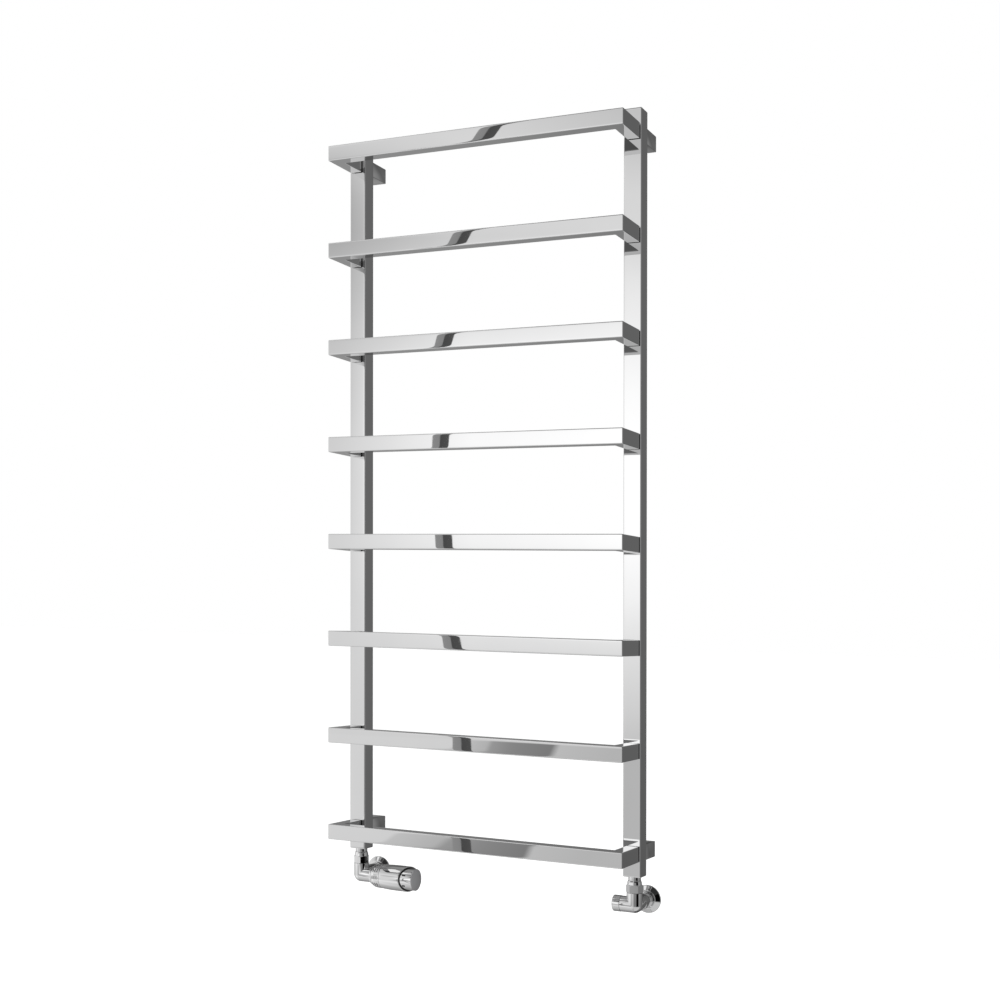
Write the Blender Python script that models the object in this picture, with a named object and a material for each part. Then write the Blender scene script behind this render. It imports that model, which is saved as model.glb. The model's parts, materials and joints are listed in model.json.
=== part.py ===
"""Ladder towel radiator with a thermostatic corner valve and a lockshield valve.

Frame: metres, +Z up, +X to the right as a person faces the radiator, -Y towards that person.
Origin: on the wall plane, midway between the uprights, level with their lower ends.
"""
import math

import bmesh
import bpy

# Driving dimensions of the radiator
HEIGHT = 1.200
WIDTH = 0.527
WALL_GAP = 0.046            # wall plane to the uprights' backs
UPRIGHT_WIDTH = 0.0295
UPRIGHT_DEPTH = 0.028
UPRIGHT_WALL = 0.002
RAIL_COUNT = 8
RAIL_PITCH = 0.161
RAIL_HEIGHT = 0.025
RAIL_DEPTH = 0.021
RAIL_WALL = 0.0015
RAIL_REACH = 0.0737         # rail front face ahead of the uprights' fronts
RAIL_INSET = 0.00225        # rail ends inside the uprights' outer faces
END_OVERHANG = 0.024        # upright beyond the first and the last rail
EDGE_RADIUS = 0.0015
CAP_THICKNESS = 0.002
WATERWAY_RADIUS = 0.007
GAP = 0.0003                # clearance between touching pieces

# Wall brackets
BRACKET_SIZE = 0.025
BRACKET_EDGE = 0.0008
STUD_RADIUS = 0.0083
STUD_LENGTH = 0.038
STUD_HOLE_RADIUS = 0.0026
GRUB_RADIUS = 0.0023
GRUB_LENGTH = 0.0036
GRUB_FROM_WALL = 0.011

# Air vents at the uprights' upper ends
VENT_FROM_TOP = 0.0125
VENT_SHANK_RADIUS = 0.0062
VENT_HEAD_RADIUS = 0.009
VENT_HEAD_THICKNESS = 0.003
BLEED_RADIUS = 0.0022

# Both valves
VALVE_DROP = 0.0452         # horizontal waterway axis below the uprights
BODY_RADIUS = 0.0126
ARM_RADIUS = 0.0124
BODY_TOP = -0.0258
SPIGOT_TOP = -0.0213
SPIGOT_RADIUS = 0.0102
TAIL_RADIUS = 0.0088
TAIL_COLLAR_RADIUS = 0.0100
TAIL_BORE = 0.0065
NUT_FLATS = 0.0235
PIPE_RADIUS = 0.0075
PIPE_BORE = 0.0065
REAR_ARM_END = 0.022        # from the valve's vertical axis towards the wall
COVER_BORE = 0.0114
FLANGE_RADIUS = 0.0228
FLANGE_THICKNESS = 0.006

# Thermostatic head: distances along +X from the valve's vertical axis
HEAD_ARM_RADIUS = 0.0125
HEAD_ARM_END = 0.0225
COLLAR_START = 0.0228
COLLAR_END = 0.0445
SLOT_RINGS = (0.0322, 0.0362, 0.0402)
SLOT_COUNT = 10
SLOT_WIDTH = 0.0014
SLOT_LENGTH = 0.0062
MOUTH_CENTRE = 0.0930
MOUTH_SLOPE = 0.45          # the mouth is cut back on the side that faces the room
SLEEVE_RADIUS = 0.0216
SLEEVE_WALL = 0.0014
HANDLE_RADIUS = 0.0182
HANDLE_START = 0.070
HANDLE_END = 0.1057
HEAD_END = 0.1078

# Lockshield arm: distances along -X from the valve's vertical axis
SHIELD_ARM_END = 0.0215
SHIELD_CAP_START = 0.0218
SHIELD_CAP_END = 0.0345
SHIELD_CAP_RADIUS = 0.0128

# Derived places
UPRIGHT_X = WIDTH / 2 - UPRIGHT_WIDTH / 2
UPRIGHT_BACK = -WALL_GAP
UPRIGHT_Y = -WALL_GAP - UPRIGHT_DEPTH / 2
UPRIGHT_FRONT = -WALL_GAP - UPRIGHT_DEPTH
RAIL_FRONT = UPRIGHT_FRONT - RAIL_REACH
TOP_RAIL_Z = HEIGHT - END_OVERHANG - RAIL_HEIGHT / 2
RAIL_LEVELS = [TOP_RAIL_Z - RAIL_PITCH * i for i in range(RAIL_COUNT)]
SIDES = {"left": -1, "right": 1}

SEGMENTS = 32
TO_X = (0, math.radians(90), 0)
TO_MINUS_X = (0, math.radians(-90), 0)
TO_Y = (math.radians(-90), 0, 0)
TO_MINUS_Y = (math.radians(90), 0, 0)
TO_Z = (0, 0, 0)


# ---------------------------------------------------------------- materials

def finish(name, colour, roughness, metallic):
    """Return the Principled material called name, making it on first use."""
    material = bpy.data.materials.get(name)
    if material is None:
        material = bpy.data.materials.new(name)
        material.use_nodes = True
        shader = material.node_tree.nodes["Principled BSDF"]
        shader.inputs["Base Color"].default_value = (*colour, 1.0)
        shader.inputs["Roughness"].default_value = roughness
        shader.inputs["Metallic"].default_value = metallic
    return material


def chrome():
    return finish("chrome", (0.78, 0.79, 0.80), 0.06, 1.0)


def brass():
    return finish("brass", (0.72, 0.55, 0.27), 0.30, 1.0)


def steel():
    return finish("steel", (0.58, 0.58, 0.59), 0.35, 1.0)


def rubber():
    return finish("rubber", (0.02, 0.02, 0.02), 0.70, 0.0)


def black_plastic():
    return finish("black_plastic", (0.03, 0.03, 0.03), 0.40, 0.0)


def white_plastic():
    return finish("white_plastic", (0.80, 0.80, 0.78), 0.45, 0.0)


def grey_plastic():
    return finish("grey_plastic", (0.20, 0.20, 0.21), 0.38, 0.0)


# ---------------------------------------------------------------- mesh tools

def mesh_from(name, build):
    """Make a mesh whose bmesh is filled by build, with its faces turned outward."""
    bm = bmesh.new()
    build(bm)
    bmesh.ops.recalc_face_normals(bm, faces=bm.faces)
    mesh = bpy.data.meshes.new(name)
    bm.to_mesh(mesh)
    bm.free()
    return mesh


def place(name, mesh, material, location=(0, 0, 0), rotation=TO_Z, smooth=True):
    """Link an object that shows mesh, and shade its round faces smooth."""
    node = bpy.data.objects.new(name, mesh)
    node.location = location
    node.rotation_euler = rotation
    if not mesh.materials:
        mesh.materials.append(material)
    if smooth:
        mesh.shade_smooth()
        mesh.set_sharp_from_angle(angle=math.radians(35))
    bpy.context.scene.collection.objects.link(node)
    return node


def add_skin(bm, rings, closed):
    """Join neighbouring rings of vertices with faces; a ring of one vertex is a pole."""
    pairs = list(zip(rings, rings[1:]))
    if closed:
        pairs.append((rings[-1], rings[0]))
    for low, high in pairs:
        count = max(len(low), len(high))
        for i in range(count):
            j = (i + 1) % count
            corners = [low[i % len(low)], low[j % len(low)], high[j % len(high)], high[i % len(high)]]
            corners = list(dict.fromkeys(corners))
            if len(corners) > 2:
                bm.faces.new(corners)


def hexagon_radius(angle, flats):
    """Distance from the axis to a hexagon's side, flats apart, at this angle."""
    off_flat = (angle % math.radians(60)) - math.radians(30)
    return flats / 2 / math.cos(off_flat)


def turned(profile, segments=SEGMENTS, flats=None, flats_beyond=None):
    """Mesh of a profile of (radius, height) points turned about its own Z.

    A profile that starts and ends on the axis is solid, any other is a ring.
    With flats, points further out than flats_beyond are held inside a hexagon.
    """
    solid = profile[0][0] == 0

    def radius_at(radius, angle):
        if flats is None or radius < flats_beyond:
            return radius
        return min(radius, hexagon_radius(angle, flats))

    def build(bm):
        rings = []
        for radius, height in profile:
            if radius == 0:
                rings.append([bm.verts.new((0, 0, height))])
                continue
            ring = []
            for i in range(segments):
                angle = 2 * math.pi * i / segments
                reach = radius_at(radius, angle)
                ring.append(bm.verts.new((reach * math.cos(angle), reach * math.sin(angle), height)))
            rings.append(ring)
        add_skin(bm, rings, closed=not solid)

    return mesh_from("turned", build)


def tube_mesh(outer, inner, start, end, segments=SEGMENTS):
    """Straight round tube between two heights."""
    return turned([(inner, start), (outer, start), (outer, end), (inner, end)], segments)


def rod_mesh(radius, start, end, segments=SEGMENTS):
    """Straight round rod between two heights."""
    return turned([(0, start), (radius, start), (radius, end), (0, end)], segments)


def rounded_rectangle(width, depth, radius, steps=3):
    """Corner points of a rectangle with round corners, anticlockwise."""
    points = []
    for quarter in range(4):
        start = math.radians(90 * quarter)
        side_x = 1 if quarter in (0, 3) else -1
        side_y = 1 if quarter in (0, 1) else -1
        centre_x = side_x * (width / 2 - radius)
        centre_y = side_y * (depth / 2 - radius)
        for step in range(steps + 1):
            angle = start + math.radians(90) * step / steps
            points.append((centre_x + radius * math.cos(angle), centre_y + radius * math.sin(angle)))
    return points


def prism_mesh(section, start, end):
    """Solid prism with this section between two heights."""
    def build(bm):
        ends = [[bm.verts.new((x, y, z)) for x, y in section] for z in (start, end)]
        add_skin(bm, ends, closed=False)
        for ring in ends:
            bm.faces.new(ring)

    return mesh_from("prism", build)


def hollow_prism_mesh(outer, inner, start, end):
    """Open-ended tube with an outer and an inner section of as many points."""
    def build(bm):
        rings = []
        for section, z in ((outer, start), (outer, end), (inner, end), (inner, start)):
            rings.append([bm.verts.new((x, y, z)) for x, y in section])
        add_skin(bm, rings, closed=True)

    return mesh_from("hollow_prism", build)


def helix_mesh(coil_radius, wire_radius, start, end, turns, steps=18, sides=6):
    """Solid round wire wound about Z between two heights."""
    def build(bm):
        total = turns * steps
        rings = []
        for i in range(total + 1):
            angle = 2 * math.pi * i / steps
            middle = start + (end - start) * i / total
            ring = []
            for side in range(sides):
                turn = 2 * math.pi * side / sides
                reach = coil_radius + wire_radius * math.cos(turn)
                lift = wire_radius * math.sin(turn)
                ring.append(bm.verts.new((reach * math.cos(angle), reach * math.sin(angle), middle + lift)))
            rings.append(ring)
        add_skin(bm, rings, closed=False)
        bm.faces.new(rings[0])
        bm.faces.new(rings[-1])

    return mesh_from("helix", build)


def combine(node, other, operation):
    """Join or cut node with other, which stays in the scene only as a guide."""
    other.hide_render = True
    other.display_type = "WIRE"
    change = node.modifiers.new(other.name, "BOOLEAN")
    change.operation = operation
    change.solver = "EXACT"
    change.object = other


def cut_round(node, name, radius, location, rotation, start, end, segments=24):
    """Cut a round hole through node, from start to end along the hole's axis."""
    guide = place(name, rod_mesh(radius, start, end, segments), chrome(), location, rotation)
    combine(node, guide, "DIFFERENCE")


# ---------------------------------------------------------------- radiator

def rail_mesh():
    """A square tube bent into a flat U: a front bar and two legs to the uprights' fronts."""
    outer = rounded_rectangle(RAIL_DEPTH, RAIL_HEIGHT, EDGE_RADIUS)
    inner = rounded_rectangle(RAIL_DEPTH - 2 * RAIL_WALL, RAIL_HEIGHT - 2 * RAIL_WALL, EDGE_RADIUS / 2)
    half_span = WIDTH / 2 - RAIL_INSET - RAIL_DEPTH / 2
    front = RAIL_FRONT + RAIL_DEPTH / 2
    leg_end = UPRIGHT_FRONT - GAP

    def stations(section, bm):
        left_end = [bm.verts.new((-half_span - u, leg_end, v)) for u, v in section]
        left_corner = [bm.verts.new((-half_span - u, front - u, v)) for u, v in section]
        right_corner = [bm.verts.new((half_span + u, front - u, v)) for u, v in section]
        right_end = [bm.verts.new((half_span + u, leg_end, v)) for u, v in section]
        return [left_end, left_corner, right_corner, right_end]

    def build(bm):
        skin = stations(outer, bm)
        bore = stations(inner, bm)
        add_skin(bm, skin + bore[::-1], closed=True)

    return mesh_from("rail", build)


def make_rails():
    mesh = rail_mesh()
    for number, level in enumerate(RAIL_LEVELS, start=1):
        place(f"rail_{number}", mesh, chrome(), (0, 0, level))


def waterway_cutter(name, x):
    """Guide with one short rod for each rail's opening into an upright."""
    def build(bm):
        for level in RAIL_LEVELS:
            low = []
            high = []
            for i in range(12):
                angle = 2 * math.pi * i / 12
                across = WATERWAY_RADIUS * math.cos(angle)
                up = level + WATERWAY_RADIUS * math.sin(angle)
                low.append(bm.verts.new((across, -UPRIGHT_DEPTH, up)))
                high.append(bm.verts.new((across, -UPRIGHT_DEPTH / 4, up)))
            add_skin(bm, [low, high], closed=False)
            bm.faces.new(low)
            bm.faces.new(high)

    return place(name, mesh_from(name, build), chrome(), (x, UPRIGHT_Y, 0))


def make_upright(side, sign):
    """Vertical square tube, its end plates and the threaded foot that takes the valve."""
    outer = rounded_rectangle(UPRIGHT_WIDTH, UPRIGHT_DEPTH, EDGE_RADIUS)
    inner = rounded_rectangle(UPRIGHT_WIDTH - 2 * UPRIGHT_WALL, UPRIGHT_DEPTH - 2 * UPRIGHT_WALL,
                              EDGE_RADIUS / 2)
    centre = (sign * UPRIGHT_X, UPRIGHT_Y, 0)
    tube = hollow_prism_mesh(outer, inner, CAP_THICKNESS + GAP, HEIGHT - CAP_THICKNESS - GAP)
    upright = place(f"{side}_upright", tube, chrome(), centre)
    combine(upright, waterway_cutter(f"{side}_waterways", centre[0]), "DIFFERENCE")
    cut_round(upright, f"{side}_vent_hole", VENT_SHANK_RADIUS + GAP,
              (centre[0], UPRIGHT_Y, HEIGHT - VENT_FROM_TOP), TO_Y, UPRIGHT_DEPTH / 4, UPRIGHT_DEPTH, 16)

    cap = prism_mesh(outer, HEIGHT - CAP_THICKNESS, HEIGHT)
    place(f"{side}_top_cap", cap, chrome(), centre)

    foot = place(f"{side}_foot", prism_mesh(outer, 0, CAP_THICKNESS), chrome(), centre)
    boss = place(f"{side}_foot_boss", rod_mesh(0.0116, CAP_THICKNESS / 2, 0.012, 24), chrome(), centre)
    combine(foot, boss, "UNION")
    cut_round(foot, f"{side}_foot_hole", TAIL_RADIUS + GAP, centre, TO_Z, -0.01, 0.02)


def make_vents():
    """A plug in the back of each upright; the left one carries the bleed screw."""
    level = HEIGHT - VENT_FROM_TOP
    shank_end = -0.004
    head_start = GAP
    head_end = head_start + VENT_HEAD_THICKNESS
    seat = BLEED_RADIUS + GAP
    plug = [(seat, shank_end), (VENT_SHANK_RADIUS, shank_end), (VENT_SHANK_RADIUS, head_start),
            (VENT_HEAD_RADIUS, head_start), (VENT_HEAD_RADIUS, head_end), (seat, head_end)]
    blank = [(0, shank_end), (VENT_SHANK_RADIUS, shank_end), (VENT_SHANK_RADIUS, head_start),
             (VENT_HEAD_RADIUS, head_start), (VENT_HEAD_RADIUS, head_end), (0, head_end)]
    place("air_vent_plug", turned(plug, 24), chrome(), (-UPRIGHT_X, UPRIGHT_BACK, level), TO_Y)
    place("blank_plug", turned(blank, 24), chrome(), (UPRIGHT_X, UPRIGHT_BACK, level), TO_Y)
    tip = shank_end + 0.001
    end = head_end + 0.004
    place("bleed_screw", turned([(0, tip), (BLEED_RADIUS, tip), (BLEED_RADIUS, end), (0, end)], 24,
                                flats=0.0040, flats_beyond=0.001), brass(),
          (-UPRIGHT_X, UPRIGHT_BACK, level), TO_Y)


def make_bracket(corner, x, z, grub_side):
    """Square block on the upright's back, the stud it slides over, and its grub screw.

    The grub screw goes in from above (grub_side 1) or from below (grub_side -1).
    """
    section = rounded_rectangle(BRACKET_SIZE, BRACKET_SIZE, BRACKET_EDGE, steps=2)
    block = place(f"bracket_{corner}", prism_mesh(section, UPRIGHT_BACK + GAP, 0), chrome(),
                  (x, 0, z), TO_Y)
    cut_round(block, f"bore_{corner}", STUD_RADIUS + GAP, (x, 0, z), TO_Y, -STUD_LENGTH - 0.001, 0.01)
    grub_place = (x, -GRUB_FROM_WALL, z)
    grub_turn = TO_Z if grub_side > 0 else (math.radians(180), 0, 0)
    cut_round(block, f"grub_hole_{corner}", GRUB_RADIUS + GAP, grub_place, grub_turn,
              STUD_RADIUS / 2, BRACKET_SIZE, 12)

    countersink = 0.0050
    stud = [(STUD_HOLE_RADIUS, 0), (STUD_RADIUS, 0), (STUD_RADIUS, -STUD_LENGTH + 0.001),
            (STUD_RADIUS - 0.001, -STUD_LENGTH), (countersink, -STUD_LENGTH),
            (STUD_HOLE_RADIUS, -STUD_LENGTH + countersink - STUD_HOLE_RADIUS)]
    place(f"wall_stud_{corner}", turned(stud, 24), steel(), (x, 0, z), TO_Y)

    tip = STUD_RADIUS + GAP
    head = tip + GRUB_LENGTH
    key = 0.0012
    grub = [(0, tip), (GRUB_RADIUS, tip), (GRUB_RADIUS, head), (key, head),
            (key, head - 0.002), (0, head - 0.002)]
    place(f"grub_screw_{corner}", turned(grub, 12), steel(), grub_place, grub_turn)


def make_brackets():
    for side, sign in SIDES.items():
        make_bracket(f"top_{side}", sign * UPRIGHT_X, RAIL_LEVELS[0], grub_side=1)
        make_bracket(f"bottom_{side}", sign * UPRIGHT_X, RAIL_LEVELS[-1], grub_side=-1)


# ---------------------------------------------------------------- parts of both valves

def valve_axis(sign):
    """Where a valve's vertical axis meets its horizontal waterway axis."""
    return (sign * UPRIGHT_X, UPRIGHT_Y, -VALVE_DROP)


def make_tail_and_nut(valve, sign, nut_turn):
    """Tailpiece screwed up into the foot, and the union nut that draws it to the body."""
    centre = (sign * UPRIGHT_X, UPRIGHT_Y, 0)
    thread_top = 0.010
    collar_bottom = -0.0060
    flange_top = -0.0170
    flange_bottom = -0.0210
    tail = [(TAIL_BORE, thread_top), (TAIL_RADIUS, thread_top), (TAIL_RADIUS, -GAP),
            (TAIL_COLLAR_RADIUS, -GAP), (TAIL_COLLAR_RADIUS, collar_bottom),
            (TAIL_RADIUS, collar_bottom), (TAIL_RADIUS, flange_top), (SPIGOT_RADIUS, flange_top),
            (SPIGOT_RADIUS, flange_bottom), (TAIL_BORE, flange_bottom)]
    place(f"{valve}_tailpiece", turned(tail), chrome(), centre)

    corner = NUT_FLATS / 2 / math.cos(math.radians(30))
    neck = TAIL_RADIUS + GAP
    top = collar_bottom - GAP
    shoulder = flange_top + GAP
    bottom = BODY_TOP + GAP
    nut = [(neck, top), (0.0103, top), (0.0117, top - 0.0040), (corner, top - 0.0085),
           (corner, bottom + 0.0008), (corner - 0.0008, bottom), (SPIGOT_RADIUS + GAP, bottom),
           (SPIGOT_RADIUS + GAP, shoulder), (neck, shoulder)]
    place(f"{valve}_union_nut", turned(nut, 36, flats=NUT_FLATS, flats_beyond=0.0117), chrome(),
          centre, (0, 0, math.radians(nut_turn)))


def body_core(valve, sign, arm_mesh, arm_rotation):
    """Upright valve body with a domed foot, one side arm and one arm to the wall."""
    centre = valve_axis(sign)
    rise = VALVE_DROP
    profile = [(0, -BODY_RADIUS)]
    for step in range(1, 6):
        angle = math.radians(90) * step / 6
        profile.append((BODY_RADIUS * math.sin(angle), -BODY_RADIUS * math.cos(angle)))
    profile += [(BODY_RADIUS, 0), (BODY_RADIUS, rise + BODY_TOP), (SPIGOT_RADIUS, rise + BODY_TOP),
                (SPIGOT_RADIUS, rise + SPIGOT_TOP), (0, rise + SPIGOT_TOP)]
    body = place(f"{valve}_body", turned(profile), chrome(), centre)
    side_arm = place(f"{valve}_side_arm", arm_mesh, chrome(), centre, arm_rotation)
    combine(body, side_arm, "UNION")
    rear_arm = place(f"{valve}_rear_arm", rod_mesh(ARM_RADIUS, 0.001, REAR_ARM_END), chrome(), centre, TO_Y)
    combine(body, rear_arm, "UNION")
    cut_round(body, f"{valve}_top_bore", 0.0078, centre, TO_Z, -0.002, 0.040)
    cut_round(body, f"{valve}_side_bore", 0.0083, centre, arm_rotation, -0.0030, 0.040)
    cut_round(body, f"{valve}_rear_bore", PIPE_RADIUS + 0.0006, centre, TO_Y, 0, 0.040)
    return body


def make_wall_side(valve, sign):
    """Pipe from the wall, its compression nut, the cover over both and the wall flange."""
    x, y, z = valve_axis(sign)
    wall = -y
    pipe_start = 0.010
    cover_start = REAR_ARM_END + GAP
    place(f"{valve}_pipe", tube_mesh(PIPE_RADIUS, PIPE_BORE, pipe_start, wall, 24), chrome(),
          (x, y, z), TO_Y)
    nut_start = cover_start + GAP
    nut_end = nut_start + 0.009
    nut_corner = 0.0111
    nut = [(PIPE_RADIUS + GAP, nut_start), (nut_corner, nut_start), (nut_corner, nut_end),
           (PIPE_RADIUS + GAP, nut_end)]
    place(f"{valve}_pipe_nut", turned(nut, 24, flats=0.0195, flats_beyond=0.0095), brass(),
          (x, y, z), TO_Y)
    place(f"{valve}_pipe_cover", tube_mesh(ARM_RADIUS, COVER_BORE, cover_start, wall - 0.001), chrome(),
          (x, y, z), TO_Y)

    bore = ARM_RADIUS + GAP
    rim = 0.0012
    flange = [(bore, 0), (FLANGE_RADIUS, 0), (FLANGE_RADIUS, -rim), (FLANGE_RADIUS - 0.0012, -0.0030),
              (0.0170, -0.0042), (0.0160, -0.0042), (0.0156, -FLANGE_THICKNESS), (bore, -FLANGE_THICKNESS)]
    place(f"{valve}_wall_flange", turned(flange, 40), chrome(), (x, 0, z), TO_Y)


# ---------------------------------------------------------------- thermostatic valve

def slot_cutter(centre):
    """Guide with one small block for each air slot round the head's collar."""
    depth = 0.008
    middle = SLEEVE_RADIUS - 0.003

    def build(bm):
        for along in SLOT_RINGS:
            for number in range(SLOT_COUNT):
                angle = 2 * math.pi * number / SLOT_COUNT + math.radians(90)
                out = (math.cos(angle), math.sin(angle))
                tangent = (-out[1], out[0])
                ends = []
                for height in (along - SLOT_WIDTH / 2, along + SLOT_WIDTH / 2):
                    ring = []
                    for u, v in ((-1, -1), (1, -1), (1, 1), (-1, 1)):
                        reach = middle + u * depth / 2
                        side = v * SLOT_LENGTH / 2
                        x = out[0] * reach + tangent[0] * side
                        y = out[1] * reach + tangent[1] * side
                        ring.append(bm.verts.new((x, y, height)))
                    ends.append(ring)
                add_skin(bm, ends, closed=False)
                bm.faces.new(ends[0])
                bm.faces.new(ends[1])

    return place("thermo_slots", mesh_from("slots", build), chrome(), centre, TO_X, smooth=False)


def slanted(mesh, beyond):
    """Shear the part of a turned mesh past this height into the head's sloping mouth."""
    for vertex in mesh.vertices:
        if vertex.co.z > beyond:
            vertex.co.z += MOUTH_SLOPE * vertex.co.y
    return mesh


def make_head_shell(centre):
    """Fixed collar with its air slots, and the fixed sleeve with its sloping mouth."""
    collar = [(0.0086, COLLAR_START), (0.0150, COLLAR_START), (0.0156, 0.0250), (0.0170, 0.0268),
              (0.0189, 0.0300), (0.0198, 0.0335), (0.0202, COLLAR_END), (0.0184, COLLAR_END),
              (0.0180, 0.0335), (0.0171, 0.0306), (0.0153, 0.0280), (0.0140, 0.0253), (0.0086, 0.0253)]
    collar_node = place("thermo_collar", turned(collar, 36), chrome(), centre, TO_X)
    combine(collar_node, slot_cutter(centre), "DIFFERENCE")

    inner = SLEEVE_RADIUS - SLEEVE_WALL
    start = COLLAR_END + GAP
    sleeve = [(0.0186, start), (0.0202, start), (0.0209, 0.0540), (0.0214, 0.0640),
              (SLEEVE_RADIUS, 0.0760), (SLEEVE_RADIUS, MOUTH_CENTRE), (inner, MOUTH_CENTRE),
              (inner, 0.0760), (0.0194, 0.0540)]
    place("thermo_sleeve", slanted(turned(sleeve, 40), 0.080), chrome(), centre, TO_X)

    ring_start = MOUTH_CENTRE - 0.0032
    ring_end = MOUTH_CENTRE - 0.0006
    ring = [(HANDLE_RADIUS + 0.0004, ring_start), (inner - GAP, ring_start), (inner - GAP, ring_end),
            (HANDLE_RADIUS + 0.0004, ring_end)]
    place("thermo_mouth_ring", slanted(turned(ring, 40), 0.080), black_plastic(), centre, TO_X)


def make_head_works(centre):
    """Turning handle with its end disc, and the sensor that it screws in and out."""
    shell = HANDLE_RADIUS - 0.0018
    web_start = 0.0980
    web_end = 0.1010
    boss_start = 0.0920
    stem = 0.0049
    handle = [(shell, HANDLE_START), (HANDLE_RADIUS, HANDLE_START), (HANDLE_RADIUS, HANDLE_END),
              (shell, HANDLE_END), (shell, web_end), (stem + GAP, web_end), (stem + GAP, boss_start),
              (0.0080, boss_start), (0.0080, web_start), (shell, web_start)]
    place("thermo_handle", turned(handle, 40), chrome(), centre, TO_X)
    edge = 0.0006
    disc = [(0, HANDLE_END + GAP), (HANDLE_RADIUS, HANDLE_END + GAP), (HANDLE_RADIUS, HEAD_END - edge),
            (HANDLE_RADIUS - edge, HEAD_END), (0, HEAD_END)]
    place("thermo_end_disc", turned(disc, 40), grey_plastic(), centre, TO_X)

    sensor = [(0, 0.0458), (0.0030, 0.0458), (0.0030, 0.0580), (0.0110, 0.0600), (0.0120, 0.0615),
              (0.0120, 0.0860), (0.0110, 0.0880), (stem, 0.0880), (stem, 0.0990), (0, 0.0990)]
    place("thermo_sensor", turned(sensor, 24), white_plastic(), centre, TO_X)


def make_valve_works(centre):
    """Insert screwed into the arm, its lock nut, spindle, spring and rubber washer."""
    insert = [(0.0050, 0.0062), (0.0080, 0.0062), (0.0080, 0.0380), (0.0019, 0.0380),
              (0.0019, 0.0280), (0.0050, 0.0280)]
    place("thermo_insert", turned(insert, 24), brass(), centre, TO_X)
    nut = [(0.0083, 0.0256), (0.0132, 0.0256), (0.0132, 0.0330), (0.0083, 0.0330)]
    place("thermo_lock_nut", turned(nut, 24, flats=0.0228, flats_beyond=0.0110), brass(), centre, TO_X)
    spindle = [(0, 0.0008), (0.0062, 0.0008), (0.0062, 0.0034), (0.0015, 0.0034), (0.0015, 0.0090),
               (0.0042, 0.0090), (0.0042, 0.0102), (0.0015, 0.0102), (0.0015, 0.0455), (0, 0.0455)]
    place("thermo_spindle", turned(spindle, 24), steel(), centre, TO_X)
    place("thermo_washer", rod_mesh(0.0058, -0.0012, 0.0005, 24), rubber(), centre, TO_X)
    place("thermo_spring", helix_mesh(0.0034, 0.0004, 0.0110, 0.0272, 6), steel(), centre, TO_X)


def make_thermostatic_valve():
    sign = SIDES["left"]
    centre = valve_axis(sign)
    body_core("thermo", sign, rod_mesh(HEAD_ARM_RADIUS, 0.001, HEAD_ARM_END), TO_X)
    make_tail_and_nut("thermo", sign, nut_turn=0)
    make_wall_side("thermo", sign)
    make_valve_works(centre)
    make_head_shell(centre)
    make_head_works(centre)


# ---------------------------------------------------------------- lockshield valve

def make_shield_works(centre):
    """Plug, the spindle that drives it, its gland nut and the cap that hides them."""
    plug = [(0, 0.0005), (0.0040, 0.0005), (0.0062, 0.0025), (0.0062, 0.0050), (0.0042, 0.0050),
            (0.0042, 0.0110), (0.0024, 0.0110), (0.0024, 0.0070), (0, 0.0070)]
    place("lockshield_plug", turned(plug, 24), brass(), centre, TO_MINUS_X)
    slot = 0.0010
    spindle = [(0, 0.0095), (0.0020, 0.0095), (0.0020, 0.0145), (0.0036, 0.0145), (0.0036, 0.0156),
               (0.0020, 0.0156), (0.0020, 0.0280), (slot, 0.0280), (slot, 0.0262), (0, 0.0262)]
    place("lockshield_spindle", turned(spindle, 24), brass(), centre, TO_MINUS_X)
    gland = [(0.0023, 0.0160), (0.0080, 0.0160), (0.0080, 0.0218), (0.0072, 0.0218),
             (0.0072, 0.0250), (0.0023, 0.0250)]
    place("lockshield_gland_nut", turned(gland, 24), brass(), centre, TO_MINUS_X)
    hollow = 0.0088
    edge = 0.0010
    cap = [(0, SHIELD_CAP_END), (SHIELD_CAP_RADIUS - edge, SHIELD_CAP_END),
           (SHIELD_CAP_RADIUS, SHIELD_CAP_END - edge), (SHIELD_CAP_RADIUS, SHIELD_CAP_START),
           (hollow, SHIELD_CAP_START), (hollow, SHIELD_CAP_END - 0.002), (0, SHIELD_CAP_END - 0.002)]
    place("lockshield_cap", turned(cap), chrome(), centre, TO_MINUS_X)


def make_lockshield_valve():
    sign = SIDES["right"]
    body_core("lockshield", sign, rod_mesh(ARM_RADIUS + 0.0001, 0.001, SHIELD_ARM_END), TO_MINUS_X)
    make_tail_and_nut("lockshield", sign, nut_turn=30)
    make_wall_side("lockshield", sign)
    make_shield_works(valve_axis(sign))


def main():
    for old in list(bpy.data.objects):
        bpy.data.objects.remove(old)
    make_rails()
    for side, sign in SIDES.items():
        make_upright(side, sign)
    make_vents()
    make_brackets()
    make_thermostatic_valve()
    make_lockshield_valve()


main()
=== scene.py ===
"""Looks of the ladder towel radiator: fine meshes and procedural materials on the CAD frame."""
import json
import math

import bmesh
import bpy
from mathutils import Matrix, Vector


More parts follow.
